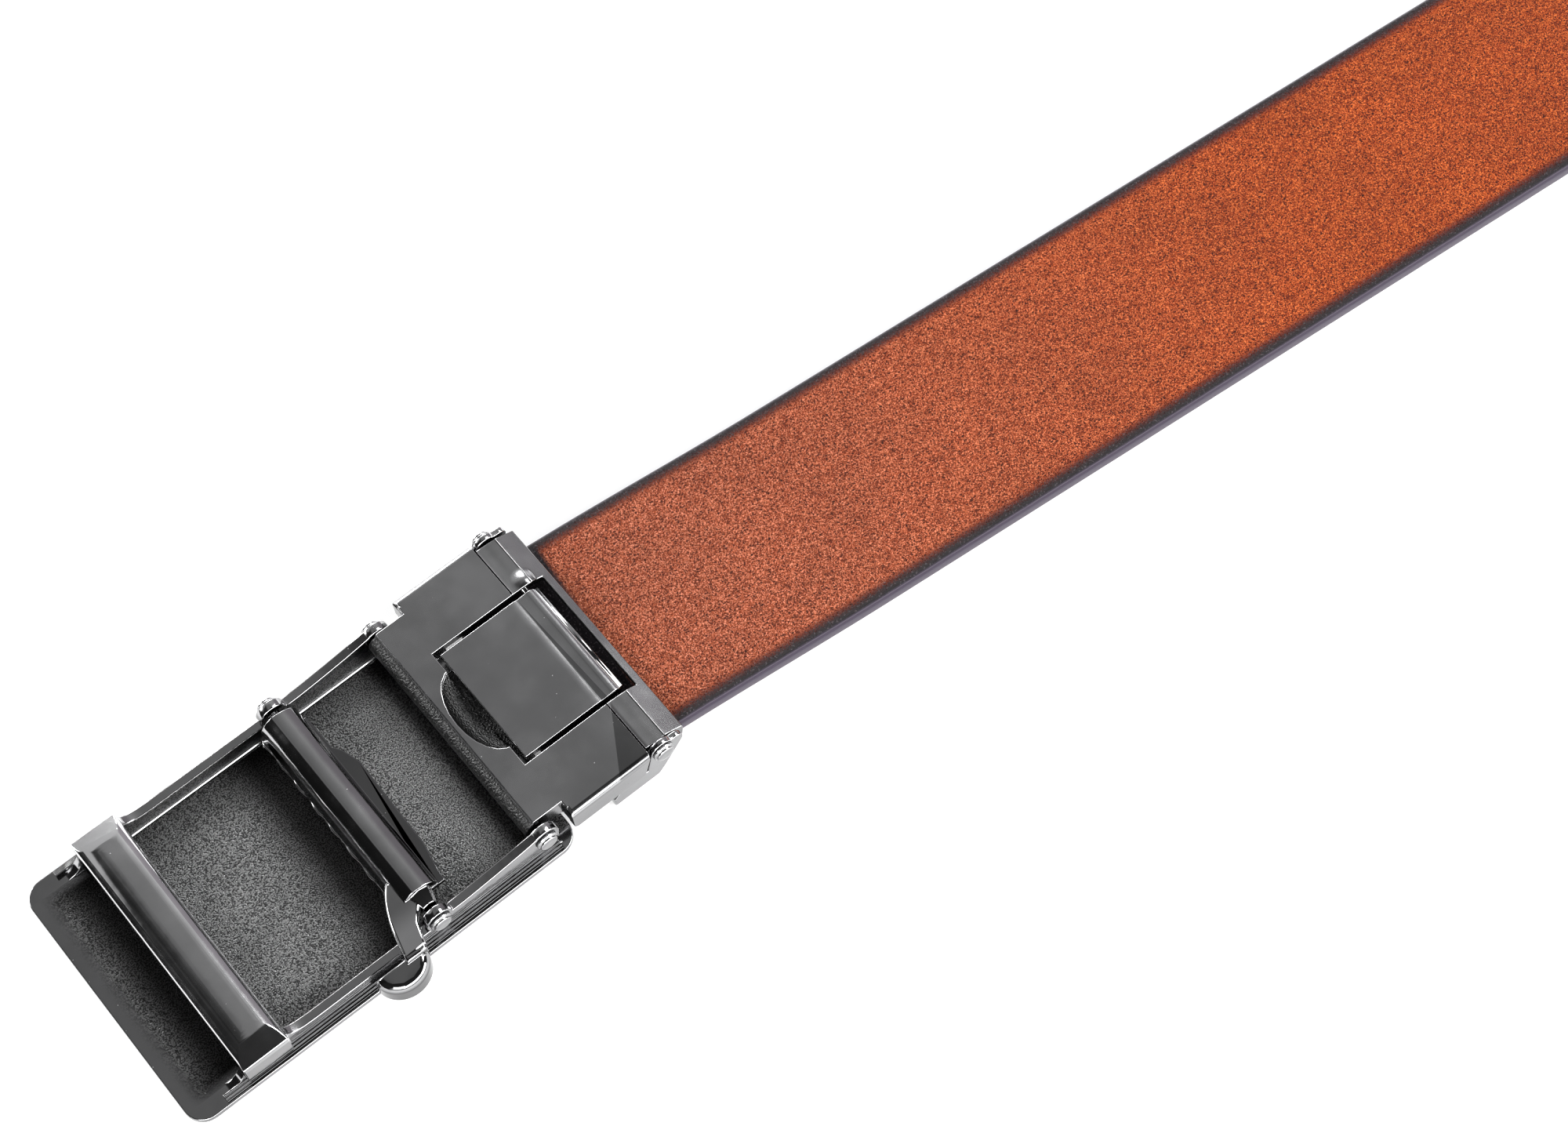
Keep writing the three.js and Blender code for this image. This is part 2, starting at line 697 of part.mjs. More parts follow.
const darkMetal = metal(0x4a4a4c, 0.22);
const blastedMetal = metal(0x3c3c3e, 0.4);
const leather = new THREE.MeshStandardMaterial({ color: 0xb04e1e, roughness: 0.9, metalness: 0 });

const belt = new THREE.Group();

const clamp = new THREE.Group();
clamp.position.y = clampOffset;
clamp.add(named("clamp_shell", geometryOf(clampShell()), darkMetal));
clamp.add(named("clamp_front", geometryOf(clampFront()), darkMetal.clone()));

const flapPin = named("flap_pin", rivetedPin(earOuterHalf), darkMetal.clone());
flapPin.position.set(flapPinX, 0, flapPinHeight);
clamp.add(flapPin);

const flap = named("cam_flap", geometryOf(camFlap()), darkMetal.clone());
flap.position.set(flapPinX, 0, flapPinHeight);
clamp.add(flap);

const strap = named("strap", loft(strapStations().map(strapSection)), leather);
strap.position.set(mouthX, -mouthDrift, 0);
strap.rotation.z = -strapYaw;
clamp.add(strap);

const frame = new THREE.Group();
frame.position.x = hingeX;
frame.add(named("face_plate", geometryOf(facePlate()), blastedMetal));

const hingePin = named("hinge_pin", rivetedPin(wallOuterHalf), darkMetal.clone());
hingePin.position.set(0, 0, hingePinHeight);
frame.add(hingePin);

const pawlPin = named("pawl_pin", rivetedPin(wallOuterHalf), darkMetal.clone());
pawlPin.position.set(pawlX, 0, pawlPinHeight);
frame.add(pawlPin);

const pawl = named("ratchet_pawl", geometryOf(ratchetPawl()), darkMetal.clone());
pawl.position.set(pawlX, 0, pawlPinHeight);
frame.add(pawl);

belt.add(clamp, frame);

export default belt;
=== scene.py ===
import math
import random

import bmesh
import bpy
from mathutils import Matrix, Vector


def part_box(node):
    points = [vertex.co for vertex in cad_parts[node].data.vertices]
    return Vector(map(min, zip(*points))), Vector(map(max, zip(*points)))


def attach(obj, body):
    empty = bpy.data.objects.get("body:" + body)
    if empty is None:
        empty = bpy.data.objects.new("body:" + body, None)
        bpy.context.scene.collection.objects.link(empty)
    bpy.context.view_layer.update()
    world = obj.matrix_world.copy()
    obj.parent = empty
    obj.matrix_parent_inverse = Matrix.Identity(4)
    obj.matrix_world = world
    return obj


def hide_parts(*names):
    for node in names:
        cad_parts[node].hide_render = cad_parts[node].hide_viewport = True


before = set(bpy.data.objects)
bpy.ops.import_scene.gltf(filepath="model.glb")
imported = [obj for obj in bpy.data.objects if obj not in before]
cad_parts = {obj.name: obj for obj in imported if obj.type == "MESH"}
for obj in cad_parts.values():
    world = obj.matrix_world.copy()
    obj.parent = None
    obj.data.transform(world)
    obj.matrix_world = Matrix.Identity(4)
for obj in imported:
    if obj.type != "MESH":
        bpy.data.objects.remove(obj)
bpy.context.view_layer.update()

mm = 0.001

# Camera. It stands above the belt's lower left, and looks down across the buckle
# with a long lens, so that the strap runs off to the upper right.
camera_data = bpy.data.cameras.new("camera")
camera_data.sensor_width = 36
camera_data.lens = 81.03
camera_data.clip_start = 0.01
camera = bpy.data.objects.new("camera", camera_data)
camera_place = Vector((-0.076964, -0.187707, 0.444303))
camera_right = Vector((0.77865, -0.62495, -0.05606))
camera_up = Vector((0.58405, 0.68923, 0.42877))
camera_back = Vector((-0.22932, -0.3666, 0.90167))
camera.matrix_world = Matrix.Translation(camera_place) @ Matrix(
    (camera_right, camera_up, camera_back)
).transposed().to_4x4()
bpy.context.scene.collection.objects.link(camera)
bpy.context.scene.camera = camera


# Studio. A white floor, soft boxes on the wearer's side that the flat faces don't mirror,
# and a room for the metal to reflect: dark in front and to the buckle's end, lighter to the
# strap's end, with a grey panel low at the back and a light one lower down in front.
bpy.context.scene.view_settings.view_transform = "Standard"

floor_half = 1.5
floor_mesh = bpy.data.meshes.new("floor")
floor_bm = bmesh.new()
bmesh.ops.create_grid(floor_bm, x_segments=1, y_segments=1, size=floor_half)
floor_bm.to_mesh(floor_mesh)
floor_bm.free()
floor = bpy.data.objects.new("floor", floor_mesh)
bpy.context.scene.collection.objects.link(floor)
floor_paint = bpy.data.materials.new("white floor")
floor_paint.use_nodes = True
floor_shader = floor_paint.node_tree.nodes["Principled BSDF"]
floor_shader.inputs["Base Color"].default_value = (0.93, 0.93, 0.93, 1)
floor_shader.inputs["Roughness"].default_value = 0.9
floor_shader.inputs["Specular IOR Level"].default_value = 0.1
floor_shader.inputs["Emission Color"].default_value = (1, 1, 1, 1)
floor_shader.inputs["Emission Strength"].default_value = 0.2
floor_mesh.materials.append(floor_paint)


def soft_box(name, place, width, height, power):
    """A rectangular lamp that faces the middle of the belt."""
    lamp = bpy.data.lights.new(name, "AREA")
    lamp.shape = "RECTANGLE"
    lamp.size = width
    lamp.size_y = height
    lamp.energy = power
    box = bpy.data.objects.new(name, lamp)
    box.location = place
    aim = Vector((0.02, 0, 0)) - Vector(place)
    box.rotation_euler = aim.to_track_quat("-Z", "Y").to_euler()
    bpy.context.scene.collection.objects.link(box)


soft_box("front box", (0.1, -1.0, 0.55), 1.5, 0.45, 14)
soft_box("left box", (-0.7, -0.7, 0.62), 0.6, 0.5, 7)
soft_box("right box", (0.85, -0.65, 0.5), 0.6, 0.5, 6)
soft_box("back left box", (-0.6, 0.95, 0.42), 0.8, 0.35, 11)
soft_box("back right box", (0.4, 1.15, 0.42), 0.8, 0.35, 9)
soft_box("rake light", (0.61, 0.1, 0.65), 0.3, 0.3, 2.7)

room = bpy.data.worlds.new("room")
room.use_nodes = True
bpy.context.scene.world = room
room_tree = room.node_tree
room_stops = [
    (0.0, (0.012, 0.012, 0.012)),
    (0.34, (0.02, 0.02, 0.02)),
    (0.4, (0.06, 0.06, 0.06)),
    (0.44, (0.18, 0.18, 0.18)),
    (0.47, (0.23, 0.23, 0.23)),
    (0.62, (0.22, 0.22, 0.22)),
    (0.7, (0.3, 0.3, 0.3)),
    (0.8, (0.45, 0.45, 0.45)),
    (0.88, (0.31, 0.29, 0.31)),
    (1.0, (0.27, 0.25, 0.27)),
]
dark_room = (0.03, 0.03, 0.03, 1)
back_panel = (0.5, 0.5, 0.5, 1)
front_panel = (0.8, 0.8, 0.8, 1)


def shader_node(tree, kind, inputs=None, **settings):
    """Adds a node to a material's tree. Its inputs are numbers, colours or other nodes' outputs."""
    made = tree.nodes.new(kind)
    for name, value in settings.items():
        setattr(made, name, value)
    for socket, value in (inputs or {}).items():
        if isinstance(value, bpy.types.NodeSocket):
            tree.links.new(value, made.inputs[socket])
        else:
            made.inputs[socket].default_value = value
    return made


def axes(tree, vector):
    """The X, Y and Z of a place or a direction."""
    split = shader_node(tree, "ShaderNodeSeparateXYZ", {"Vector": vector})
    return [split.outputs[axis] for axis in "XYZ"]


def colour_ramp(tree, value, stops):
    """Colours that follow a value through the stops, each a place on the ramp and a colour."""
    ramp = shader_node(tree, "ShaderNodeValToRGB", {"Fac": value})
    points = ramp.color_ramp.elements
    for index, (share, colour) in enumerate(stops):
        point = points[index] if index < len(points) else points.new(share)
        point.position = share
        point.color = (*colour, 1)
    return ramp.outputs["Color"]


def fade(tree, value, start, end, from_value=0.0, to_value=1.0):
    """A smooth step: from_value where the value is at start, to_value where it is at end."""
    step = shader_node(
        tree, "ShaderNodeMapRange",
        {"Value": value, "From Min": start, "From Max": end, "To Min": from_value, "To Max": to_value},
        interpolation_type="SMOOTHSTEP",
    )
    return step.outputs["Result"]


def number(tree, operation, first, second=0.0, third=0.0):
    """A sum, product or other operation on one to three values."""
    made = shader_node(tree, "ShaderNodeMath", {0: first, 1: second, 2: third}, operation=operation)
    return made.outputs["Value"]


def product(tree, *values):
    """Values multiplied together."""
    result = values[0]
    for value in values[1:]:
        result = number(tree, "MULTIPLY", result, value)
    return result


def mixed(tree, share, first, second, blend="MIX"):
    """Two colours, blended by the share."""
    made = shader_node(
        tree, "ShaderNodeMix", {0: share, 6: first, 7: second}, data_type="RGBA", blend_type=blend
    )
    return made.outputs[2]


room_direction = shader_node(room_tree, "ShaderNodeTexCoord").outputs["Generated"]
room_x, room_y, room_z = axes(room_tree, room_direction)
along_share = shader_node(room_tree, "ShaderNodeMapRange", {"Value": room_x, "From Min": -1})
along_room = colour_ramp(room_tree, along_share.outputs["Result"], room_stops)
low_back = product(
    room_tree, fade(room_tree, room_z, 0.84, 0.74), fade(room_tree, room_y, 0.42, 0.55),
    fade(room_tree, room_z, 0.4, 0.5),
)
low_front = product(room_tree, fade(room_tree, room_z, 0.56, 0.5), fade(room_tree, room_y, -0.3, -0.5))
dark_front = fade(room_tree, room_y, 0.22, 0.08)
room_colour = mixed(room_tree, dark_front, along_room, dark_room)
room_colour = mixed(room_tree, low_back, room_colour, back_panel)
room_colour = mixed(room_tree, low_front, room_colour, front_panel)
room_tree.links.new(room_colour, room_tree.nodes["Background"].inputs["Color"])


# Plating. Every metal piece is a zinc casting or a pin under dark nickel plating: it mirrors
# the room a little wavily, has its edges painted lighter as a painted highlight, and has fine
# pits and dust. The upright sides are painted darker, as painted shade.
edge_sheen_width = 0.25 * mm
edge_sheen_colour = (0.75, 0.75, 0.76, 1)
edge_sheen_strength = 0.4
side_shade_colour = (0.02, 0.02, 0.021, 1)
wave_depth = 0.09 * mm


def effect_group(name, inputs, outputs):
    """An empty shader effect with its input sockets and defaults, and its output sockets."""
    group = bpy.data.node_groups.new(name, "ShaderNodeTree")
    for label, (kind, value) in inputs.items():
        socket = group.interface.new_socket(name=label, in_out="INPUT", socket_type=kind)
        if value is not None:
            socket.default_value = value
    for label, kind in outputs.items():
        group.interface.new_socket(name=label, in_out="OUTPUT", socket_type=kind)
    return group, group.nodes.new("NodeGroupInput"), group.nodes.new("NodeGroupOutput")


plating_group, plating_in, plating_out = effect_group(
    "cast plating",
    {
        "Place": ("NodeSocketVector", None),
        "Tone": ("NodeSocketFloat", 0.5),
        "Roughness": ("NodeSocketFloat", 0.1),
        "Waviness": ("NodeSocketFloat", 1.0),
    },
    {"Color": "NodeSocketColor", "Roughness": "NodeSocketFloat", "Height": "NodeSocketFloat"},
)
place_in = plating_in.outputs["Place"]
cast_waves = shader_node(
    plating_group, "ShaderNodeTexNoise",
    {"Vector": place_in, "Scale": 260, "Detail": 2, "Roughness": 0.4},
)
plating_clouds = shader_node(
    plating_group, "ShaderNodeTexNoise",
    {"Vector": place_in, "Scale": 90, "Detail": 4, "Roughness": 0.6},
)
pits = shader_node(plating_group, "ShaderNodeTexVoronoi", {"Vector": place_in, "Scale": 900})
pit_mask = fade(plating_group, pits.outputs["Distance"], 0.1, 0.05)
pit_colour = shader_node(plating_group, "ShaderNodeSeparateColor", {"Color": pits.outputs["Color"]})
kept_pits = product(plating_group, pit_mask, fade(plating_group, pit_colour.outputs["Red"], 0.86, 0.9))
cloud_tone = fade(plating_group, plating_clouds.outputs["Fac"], 0.3, 0.7, 0.93, 1.06)
plating_tone = product(plating_group, plating_in.outputs["Tone"], cloud_tone)
plating_tone = number(plating_group, "MULTIPLY_ADD", kept_pits, 0.18, plating_tone)
plating_blue = product(plating_group, plating_tone, 1.015)
plating_colour = shader_node(
    plating_group, "ShaderNodeCombineColor",
    {"Red": plating_tone, "Green": plating_tone, "Blue": plating_blue},
)
plating_rough = number(
    plating_group, "ADD", plating_in.outputs["Roughness"],
    fade(plating_group, plating_clouds.outputs["Fac"], 0.35, 0.75, -0.02, 0.05),
)
plating_rough = number(plating_group, "MULTIPLY_ADD", kept_pits, 0.3, plating_rough)
plating_height = product(
    plating_group, number(plating_group, "SUBTRACT", cast_waves.outputs["Fac"], 0.5),
    plating_in.outputs["Waviness"],
)
plating_group.links.new(plating_colour.outputs["Color"], plating_out.inputs["Color"])
plating_group.links.new(plating_rough, plating_out.inputs["Roughness"])
plating_group.links.new(plating_height, plating_out.inputs["Height"])

# Painted highlight: a mask of the rounded edges, where every metal piece is painted lighter.
sheen_group, sheen_in, sheen_out = effect_group(
    "painted edge sheen", {"Width": ("NodeSocketFloat", 0.0002)}, {"Mask": "NodeSocketFloat"}
)
bevel_round = shader_node(sheen_group, "ShaderNodeBevel", {"Radius": sheen_in.outputs["Width"]}, samples=4)
own_normal = shader_node(sheen_group, "ShaderNodeNewGeometry")
edge_turn = shader_node(
    sheen_group, "ShaderNodeVectorMath",
    {0: bevel_round.outputs["Normal"], 1: own_normal.outputs["Normal"]}, operation="DOT_PRODUCT",
)
sheen_group.links.new(fade(sheen_group, edge_turn.outputs["Value"], 0.99, 0.85), sheen_out.inputs["Mask"])


def plated(name, tone, roughness, waviness, side_shade=0.5):
    """A plated metal. Returns it with its tree, shader, plating effect and the place on the piece."""
    made = bpy.data.materials.new(name)
    made.use_nodes = True
    tree = made.node_tree
    shader = tree.nodes["Principled BSDF"]
    shader.inputs["Metallic"].default_value = 1
    place = shader_node(tree, "ShaderNodeTexCoord").outputs["Object"]
    plating = shader_node(
        tree, "ShaderNodeGroup",
        {"Place": place, "Tone": tone, "Roughness": roughness, "Waviness": waviness},
        node_tree=plating_group,
    )
    # Painted highlight: the edges are painted lighter.
    edge_sheen_node = shader_node(tree, "ShaderNodeGroup", {"Width": edge_sheen_width}, node_tree=sheen_group)
    edge_sheen_share = product(tree, edge_sheen_node.outputs["Mask"], edge_sheen_strength)
    colour = mixed(tree, edge_sheen_share, plating.outputs["Color"], edge_sheen_colour)
    # Painted shade: upright faces are painted darker.
    upward = axes(tree, shader_node(tree, "ShaderNodeTexCoord").outputs["Normal"])[2]
    steepness = fade(tree, number(tree, "ABSOLUTE", upward), 0.55, 0.15)
    colour = mixed(tree, product(tree, steepness, side_shade), colour, side_shade_colour)
    tree.links.new(colour, shader.inputs["Base Color"])
    tree.links.new(plating.outputs["Roughness"], shader.inputs["Roughness"])
    relief = shader_node(
        tree, "ShaderNodeBump", {"Height": plating.outputs["Height"], "Distance": wave_depth}
    )
    tree.links.new(relief.outputs["Normal"], shader.inputs["Normal"])
    return made, tree, shader, plating, place


def tint(tree, shader, share, colour):
    """Blends a colour over the metal's own, by the share."""
    own_colour = shader.inputs["Base Color"].links[0].from_socket
    tree.links.new(mixed(tree, share, own_colour, colour), shader.inputs["Base Color"])


def add_relief(tree, shader, height, distance):
    """Adds relief to what the metal has already."""
    own_relief = shader.inputs["Normal"].links[0].from_socket
    relief = shader_node(
        tree, "ShaderNodeBump", {"Height": height, "Distance": distance, "Normal": own_relief}
    )
    tree.links.new(relief.outputs["Normal"], shader.inputs["Normal"])


def round_edges(solid, edge):
    """Modifiers that round the edges of a solid from the frame and keep its flat faces flat."""
    weld = solid.modifiers.new("weld", "WELD")
    weld.merge_threshold = 0.005 * mm
    flat = solid.modifiers.new("flat faces", "DECIMATE")
    flat.decimate_type = "DISSOLVE"
    flat.angle_limit = math.radians(1)
    rounding = solid.modifiers.new("rounded edges", "BEVEL")
    rounding.width = edge
    rounding.segments = 3
    rounding.limit_method = "ANGLE"
    rounding.angle_limit = math.radians(32)
    rounding.use_clamp_overlap = False
    rounding.harden_normals = True
    shading = solid.modifiers.new("even shading", "WEIGHTED_NORMAL")
    shading.keep_sharp = True
    for face in solid.data.polygons:
        face.use_smooth = True


def finish_solid(name, material, edge):
    """Gives a solid from the frame its metal and its rounded edges."""
    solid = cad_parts[name]
    solid.data.materials.clear()
    solid.data.materials.append(material)
    round_edges(solid, edge)


# Face plate. The tray-shaped front of the buckle is one casting, here from its back. Its floor
# and inner walls are sandblasted, and the tip loop, wall tops and rim are left smooth.
tray, tray_tree, tray_shader, tray_plating, tray_place = plated("blasted gunmetal", 0.5, 0.12, 0.6)
wall_inner = 18.55 * mm
loop_left = -64.7 * mm
loop_right = -57.5 * mm
rim_smooth = -72.6 * mm
wall_top = 5.0 * mm
blast_grain = 0.2 * mm
blast_depth = 0.075 * mm
# Left side of a crosswise bar, reach of its shadow over the floor, share of light it takes.
bar_shadows = [
    (loop_left, 11 * mm, 0.94),
    (-37.0 * mm, 9 * mm, 0.9),
    (-16.0 * mm, 3.6 * mm, 0.85),
]
mark_centre = (-19.6 * mm, -1.1 * mm, 1.1 * mm)
mark_radius = 1.5 * mm

tray_x, tray_y, tray_z = axes(tray_tree, tray_place)
from_middle = number(tray_tree, "ABSOLUTE", tray_y)
between_walls = fade(tray_tree, from_middle, wall_inner + 0.12 * mm, wall_inner + 0.04 * mm)
in_the_tray = fade(tray_tree, tray_z, wall_top, wall_top - 0.2 * mm)
above_the_face = fade(tray_tree, tray_z, 0.5 * mm, 0.8 * mm)
off_the_rim = fade(tray_tree, tray_x, rim_smooth, rim_smooth + 2.6 * mm)
off_the_sides = fade(tray_tree, from_middle, 19.5 * mm, 17.0 * mm)
right_of_loop = fade(tray_tree, tray_x, loop_left - 0.6 * mm, loop_left)
inside_left_end = product(tray_tree, off_the_rim, off_the_sides)
off_left_margin = number(tray_tree, "MAXIMUM", right_of_loop, inside_left_end)
blasted = product(tray_tree, between_walls, in_the_tray, above_the_face, off_left_margin)
blast = shader_node(
    tray_tree, "ShaderNodeTexNoise",
    {"Vector": tray_place, "Scale": 1 / blast_grain, "Detail": 1.5, "Roughness": 0.5},
)
blast_height = product(tray_tree, number(tray_tree, "SUBTRACT", blast.outputs["Fac"], 0.5), blasted)
add_relief(tray_tree, tray_shader, blast_height, blast_depth)
# Painted shade: the blasted floor is painted darker toward the walls, and a painted shadow falls left of
# each crosswise bar.
tray_shade = fade(tray_tree, from_middle, 12 * mm, 18.3 * mm, 1.0, 0.55)
for bar_left, reach, taken in bar_shadows:
    under_bar = product(
        tray_tree, fade(tray_tree, tray_x, bar_left - reach, bar_left - 1 * mm),
        fade(tray_tree, tray_x, bar_left + 3 * mm, bar_left + 2 * mm),
    )
    tray_shade = product(tray_tree, tray_shade, number(tray_tree, "MULTIPLY_ADD", under_bar, -taken, 1))
grain_and_shade_tone = product(tray_tree, fade(tray_tree, blast.outputs["Fac"], 0.41, 0.59, 0.1, 0.54), tray_shade)
from_mark = shader_node(
    tray_tree, "ShaderNodeVectorMath", {0: tray_place, 1: mark_centre}, operation="DISTANCE"
).outputs["Value"]
off_mark_ring = number(tray_tree, "ABSOLUTE", number(tray_tree, "SUBTRACT", from_mark, mark_radius))
mark_ring = fade(tray_tree, off_mark_ring, 0.14 * mm, 0.05 * mm)
grain_and_shade_tone = number(tray_tree, "MULTIPLY_ADD", mark_ring, 0.12, grain_and_shade_tone)
grain_and_shade_colour = shader_node(
    tray_tree, "ShaderNodeCombineColor", {"Red": grain_and_shade_tone, "Green": grain_and_shade_tone, "Blue": grain_and_shade_tone}
)
tint(tray_tree, tray_shader, blasted, grain_and_shade_colour.outputs["Color"])
tray_rough = number(tray_tree, "MULTIPLY_ADD", blasted, 0.2, tray_plating.outputs["Roughness"])
tray_tree.links.new(tray_rough, tray_shader.inputs["Roughness"])
rim_tone = fade(tray_tree, tray_x, -70 * mm, -66 * mm, 0.36, 0.46)
# Painted reflection: the loop bar's top is painted lighter toward its right side and at its upper
# shoulder.
on_bar = product(
    tray_tree, fade(tray_tree, tray_z, wall_top, wall_top + 0.1 * mm),
    fade(tray_tree, tray_x, loop_right + 0.3 * mm, loop_right + 0.2 * mm),
)
bar_painted_light = fade(tray_tree, tray_x, loop_left + 1.5 * mm, loop_right, 0.16, 0.32)
shoulder_painted_light = fade(tray_tree, tray_y, 12.5 * mm, 15.5 * mm, 0, 0.1)
bar_painted_light = number(tray_tree, "ADD", bar_painted_light, shoulder_painted_light)
tray_tone = number(tray_tree, "MULTIPLY_ADD", on_bar, bar_painted_light, rim_tone)
tray_tree.links.new(tray_tone, tray_plating.inputs["Tone"])
finish_solid("face_plate", tray, 0.18 * mm)

# Rim steps and corner fillets of the face plate. Outside each wall the casting steps down to
# the plate's rim in three narrow ledges, and inside it a smooth fillet meets the blasted floor.
smooth_metal = plated("smooth cast gunmetal", 0.42, 0.12, 0.8)[0]
plate_left = -73.7 * mm
plate_right = -10.3 * mm
plate_bow = 0.35 * mm
rim_steps_left = -68.5 * mm
fillet_left = -57.2 * mm
wall_right = -13.0 * mm
wall_steps = 16
# Profiles across the belt: distance from its middle line and height, in millimetres.
rim_profile = [
    (19.9, 0.8), (19.9, 1.9), (20.15, 1.9), (20.2, 1.6),
    (20.5, 1.6), (20.55, 1.32), (20.85, 1.32), (20.9, 0.8),
]
fillet_profile = [
    (18.62, 0.85), (18.1, 0.85), (18.1, 1.04), (18.35, 1.1), (18.5, 1.25), (18.56, 1.5), (18.62, 1.5),
]


def sweep(bm, sections):
    """Draws a closed ring of points along its sections, and caps both ends."""
    ring = [bm.verts.new(point) for point in sections[0]]
    edges = [bm.edges.new(pair) for pair in zip(ring, ring[1:] + ring[:1])]
    bm.faces.new(ring)
    for section in sections[1:]:
        grown = bmesh.ops.extrude_edge_only(bm, edges=edges)["geom"]
        fresh = {part for part in grown if isinstance(part, bmesh.types.BMVert)}
        ring = [
            next(edge.other_vert(vert) for edge in vert.link_edges if edge.other_vert(vert) in fresh)
            for vert in ring
        ]
        edges = [
            part for part in grown
            if isinstance(part, bmesh.types.BMEdge) and all(vert in fresh for vert in part.verts)
        ]
        for vert, point in zip(ring, section):
            vert.co = point
    bm.faces.new(ring)
    bmesh.ops.recalc_face_normals(bm, faces=bm.faces)


def new_piece(name, bm, material, smooth=False):
    """Turns a drawn shape into a piece of the belt with its material."""
    mesh = bpy.data.meshes.new(name)
    for face in bm.faces:
        face.smooth = smooth
    bm.to_mesh(mesh)
    bm.free()
    mesh.materials.append(material)
    piece = bpy.data.objects.new(name, mesh)
    bpy.context.scene.collection.objects.link(piece)
    return piece


def along_wall(name, profile, start, side):
    """Strip with this profile across the belt, drawn along a wall and bowed with the plate."""
    middle = (plate_left + plate_right) / 2
    sections = []
    for step in range(wall_steps + 1):
        x = start + (wall_right - start) * step / wall_steps
        lift = plate_bow * ((x - middle) / (plate_right - middle)) ** 2
        sections.append([(x, side * y * mm, z * mm + lift) for y, z in profile])
    bm = bmesh.new()
    sweep(bm, sections)
    strip = new_piece(name, bm, smooth_metal)
    softened = strip.modifiers.new("softened", "BEVEL")
    softened.width = 0.06 * mm
    softened.segments = 2
    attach(strip, "frame")


for side_name, side in (("upper", 1), ("lower", -1)):
    along_wall(side_name + "_rim_steps", rim_profile, rim_steps_left, side)
    along_wall(side_name + "_floor_fillet", fillet_profile, fillet_left, side)

# Hinge pin, pawl pin and flap pin. Steel pins whose ends are hammered over into domed
# rivets, so that each end has a low collar, a waist and a dented button.
rivet_metal = plated("polished gunmetal", 0.52, 0.09, 1.6)[0]
pin_radius = 0.6 * mm
rivet_inset = 0.01 * mm
# Profile of a rivet: radius and height above its foot, in millimetres.
rivet_profile = [
    (1.65, 0.0), (1.65, 0.16), (1.55, 0.28), (1.32, 0.32), (1.3, 0.4), (1.36, 0.5),
    (1.3, 0.64), (1.1, 0.72), (0.7, 0.75), (0.3, 0.74), (0.0, 0.73),
]


def riveted_pin(node, material):
    """Pin with a spun rivet at each end, in the place of the frame's plain pin."""
    low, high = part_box(node)
    middle_x = (low[0] + high[0]) / 2
    middle_z = (low[2] + high[2]) / 2
    head = rivet_profile[-2][1] * mm + rivet_inset
    bm = bmesh.new()
    for side, end in ((-1, low[1] + head), (1, high[1] - head)):
        points = [(middle_x + pin_radius, (low[1] + high[1]) / 2), (middle_x + pin_radius, end)]
        points += [(middle_x + radius * mm, end + side * height * mm) for radius, height in rivet_profile]
        verts = [bm.verts.new((x, y, middle_z)) for x, y in points]
        edges = [bm.edges.new(pair) for pair in zip(verts, verts[1:])]
        bmesh.ops.spin(
            bm, geom=verts + edges, cent=(middle_x, 0, middle_z), axis=(0, 1, 0),
            angle=math.tau, steps=40, use_merge=True,
        )
    bmesh.ops.remove_doubles(bm, verts=bm.verts, dist=0.002 * mm)
    bmesh.ops.recalc_face_normals(bm, faces=bm.faces)
    return new_piece(node + "_riveted", bm, material, smooth=True)


for pin_node in ("hinge_pin", "pawl_pin", "flap_pin"):
    pin = riveted_pin(pin_node, rivet_metal)
    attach(pin, "clamp" if pin_node == "flap_pin" else "frame")
    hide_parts(pin_node)

# Ratchet pawl. A polished casting: ridged barrel with a tooth, flat blade and the claw
# with its half-round thumb button. The claw is painted lighter as a painted highlight, and the
# blade and the button's crowned face are painted darker as painted shade.
pawl_metal, pawl_tree, pawl_shader, pawl_plating, pawl_place = plated(
    "pawl gunmetal", 0.42, 0.07, 0.9, side_shade=0.75
)
blade_left = -30.4 * mm
button_edge = -21.4 * mm
button_middle = (-40.2 * mm, -21.6 * mm, 0)
button_crown = 28 * mm


def from_upright_line(tree, place, foot):
    """Distance from the upright line through this point of the floor."""
    flat_place = shader_node(tree, "ShaderNodeVectorMath", {0: place, 1: (1, 1, 0)}, operation="MULTIPLY")
    return shader_node(
        tree, "ShaderNodeVectorMath", {0: flat_place.outputs["Vector"], 1: foot}, operation="DISTANCE"
    ).outputs["Value"]


pawl_x, pawl_y = axes(pawl_tree, pawl_place)[:2]
# Painted light and shade: the claw is painted lighter, the button's face and the blade darker.
claw_painted_light = fade(pawl_tree, pawl_y, -15 * mm, -19 * mm, 0.42, 0.8)
button_painted_shade = fade(pawl_tree, pawl_y, button_edge, button_edge - 0.5 * mm, 0, 0.45)
blade_painted_shade = fade(pawl_tree, pawl_x, blade_left, blade_left + 0.5 * mm, 0, 0.2)
pawl_tone = number(pawl_tree, "SUBTRACT", claw_painted_light, button_painted_shade)
pawl_tone = number(pawl_tree, "SUBTRACT", pawl_tone, blade_painted_shade)
pawl_tree.links.new(pawl_tone, pawl_plating.inputs["Tone"])
from_button = from_upright_line(pawl_tree, pawl_place, button_middle)
on_button = fade(pawl_tree, pawl_y, button_edge, button_edge - 0.3 * mm)
crown_height = product(pawl_tree, from_button, from_button, -0.5 / button_crown, on_button)
add_relief(pawl_tree, pawl_shader, crown_height, distance=1)
finish_solid("ratchet_pawl", pawl_metal, 0.15 * mm)

